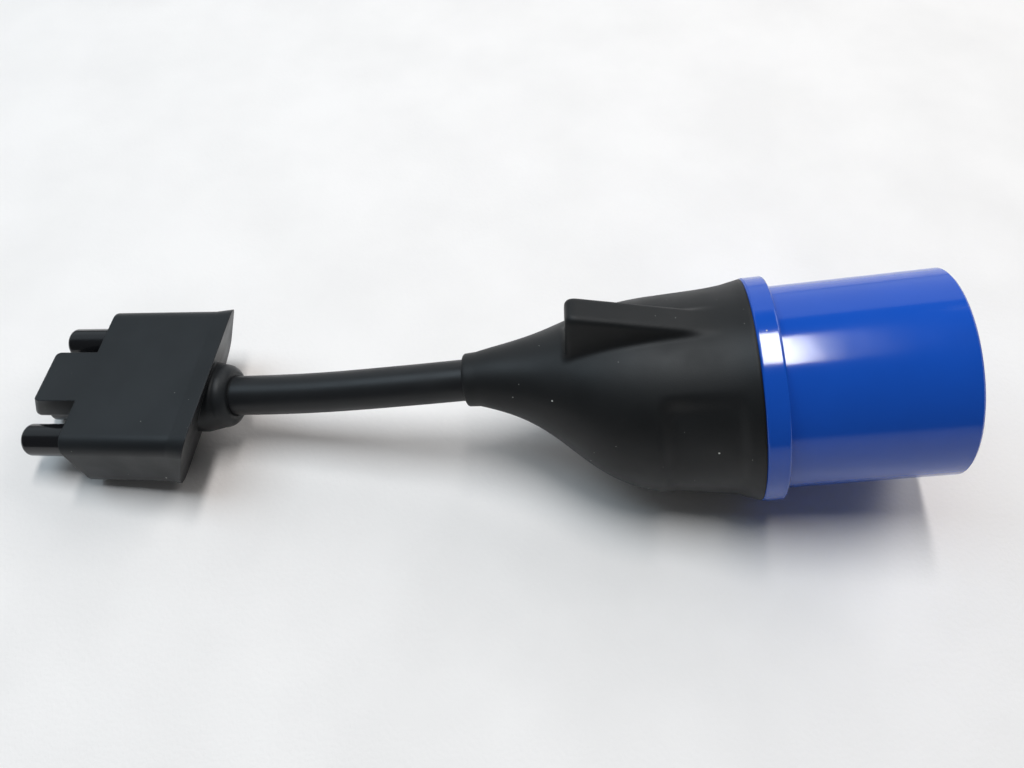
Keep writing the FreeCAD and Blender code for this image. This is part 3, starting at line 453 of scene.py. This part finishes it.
def grip_angles():
    """Directions around a ring from the fin's, closer together at the fin's walls."""
    middle = np.radians(np.arange(1 - FIN_TOP_ANGLE, FIN_TOP_ANGLE))
    wall = np.radians(np.arange(FIN_TOP_ANGLE, FIN_WALL_ANGLE, FIN_WALL_STEP))
    rest = np.radians(np.linspace(REST_FIRST_ANGLE, 360 - REST_FIRST_ANGLE, REST_COUNT))
    return np.concatenate([middle, wall, rest, 2 * math.pi - wall[::-1]])


def grip_backs():
    """Places of the rings, closer together at the fin's blunt front."""
    front_start = FIN_FRONT - FIN_CORNER
    front_end = FIN_FRONT + FIN_FOOT_LENGTH
    before = np.linspace(0, front_start, RINGS_BEFORE_FIN_FRONT, endpoint=False)
    front = np.linspace(front_start, front_end, RINGS_AT_FIN_FRONT, endpoint=False)
    after = np.linspace(front_end, BOOT_START, RINGS_TO_BOOT, endpoint=False)
    return np.concatenate([before, front, after])


def grip_rings(angles):
    """Every ring as (place behind the flange, rise, reach in each direction), outside first."""
    signed = (angles + math.pi) % (2 * math.pi) - math.pi
    rings = []
    for back in grip_backs():
        radius, rise = grip_ring(back)
        skin = radius - recess_cut(back, radius, rise, signed)
        rings.append((back, rise, moulded_reach(back, rise, skin, signed)))
    for turn in np.linspace(0, math.pi / 2, RINGS_AT_BOOT_END):
        back = BOOT_END - BOOT_ROUNDING * (1 - math.sin(turn))
        radius = BOOT_RADIUS - BOOT_ROUNDING * (1 - math.cos(turn))
        rings.append((back, CABLE_RISE, np.full_like(angles, radius)))
    for back, radius, rise in HOLLOW_SECTIONS:
        rings.append((back, rise, np.full_like(angles, radius)))
    return rings


def ring_faces(ring_count, count):
    """Quads between each ring and the next one, and from the last one back to the first."""
    faces = []
    for ring in range(ring_count):
        start = ring * count
        after = (ring + 1) % ring_count * count
        for turn in range(count):
            beside = (turn + 1) % count
            faces.append((start + turn, start + beside, after + beside, after + turn))
    return faces


def add_grip():
    angles = grip_angles()
    rings = grip_rings(angles)
    verts = [(-back, reach * math.sin(angle), rise + reach * math.cos(angle))
             for back, rise, reaches in rings for reach, angle in zip(reaches, angles)]
    mesh = bpy.data.meshes.new("grip_moulding")
    mesh.from_pydata(verts, [], ring_faces(len(rings), len(angles)))
    tilted = Matrix.Rotation(-PLUG_TILT, 4, "Y") @ Matrix.Rotation(-PLUG_ROLL, 4, "X")
    mesh.transform(Matrix.Translation(PLUG_PLACE) @ tilted)
    outward = bmesh.new()
    outward.from_mesh(mesh)
    bmesh.ops.recalc_face_normals(outward, faces=outward.faces)
    outward.to_mesh(mesh)
    outward.free()
    mesh.shade_smooth()
    mesh.set_sharp_from_angle(angle=SHARP_ANGLE)
    grip = bpy.data.objects.new("grip_moulding", mesh)
    bpy.context.collection.objects.link(grip)
    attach(grip, "root")
    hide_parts("plug_body")
    return grip


# ---- floor and light ----

FLOOR_WIDTH = 6
SKY_COLOR = (0.9, 0.95, 1.0)
SKY_STRENGTH = 0.1
WHITE = (1, 1, 1)
OBJECT_MIDDLE = (0, 0, 0.03)

# Area lamps: name, place, what it points at, width, depth, power, colour.
LAMPS = [
    ("overhead", (0.055, 0.12, 1.3), (0.055, 0, 0), 0.12, 0.7, 8.5, WHITE),
    ("sky_left", (-0.55, 0.15, 1.25), OBJECT_MIDDLE, 0.7, 0.9, 7, (0.7, 0.87, 1.0)),
    ("left_screen", (-1.3, 1.0, 0.9), OBJECT_MIDDLE, 2.0, 1.2, 4, (0.8, 0.92, 1.0)),
    ("far_screen", (0.1, 1.4, 0.62), OBJECT_MIDDLE, 1.8, 1.25, 5.2, (0.94, 0.97, 1.0)),
    ("right_window", (1.0, 0.75, 1.1), OBJECT_MIDDLE, 0.9, 0.9, 7.5, WHITE),
]


def add_floor():
    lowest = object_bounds()[0][2]
    bpy.ops.mesh.primitive_plane_add(size=FLOOR_WIDTH, location=(0, 0, lowest))
    floor = bpy.context.object
    floor.name = "floor"
    look = Look("floor_pale", (0.86, 0.815, 0.785), roughness=0.6, specular=0.2)
    look.finish_color(look.vary_color(0.05, darker=0.97, lighter=1.02))
    look.bump(look.noise(0.0015, detail=3.0), depth=0.0001)
    show(floor, look.material)


def add_sky():
    world = bpy.data.worlds.new("studio")
    bpy.context.scene.world = world
    world.use_nodes = True
    background = world.node_tree.nodes["Background"]
    background.inputs["Color"].default_value = (*SKY_COLOR, 1)
    background.inputs["Strength"].default_value = SKY_STRENGTH


def add_lamp(name, place, target, width, depth, power, color):
    data = bpy.data.lights.new(name, "AREA")
    data.shape = "RECTANGLE"
    data.size = width
    data.size_y = depth
    data.energy = power
    data.color = color
    lamp = bpy.data.objects.new(name, data)
    lamp.location = place
    lamp.rotation_euler = (Vector(target) - Vector(place)).to_track_quat("-Z", "Y").to_euler()
    bpy.context.collection.objects.link(lamp)


add_camera()
add_cable()
finish_nodes()
add_floor()
add_sky()
for lamp in LAMPS:
    add_lamp(*lamp)
bpy.context.scene.view_settings.view_transform = "Standard"
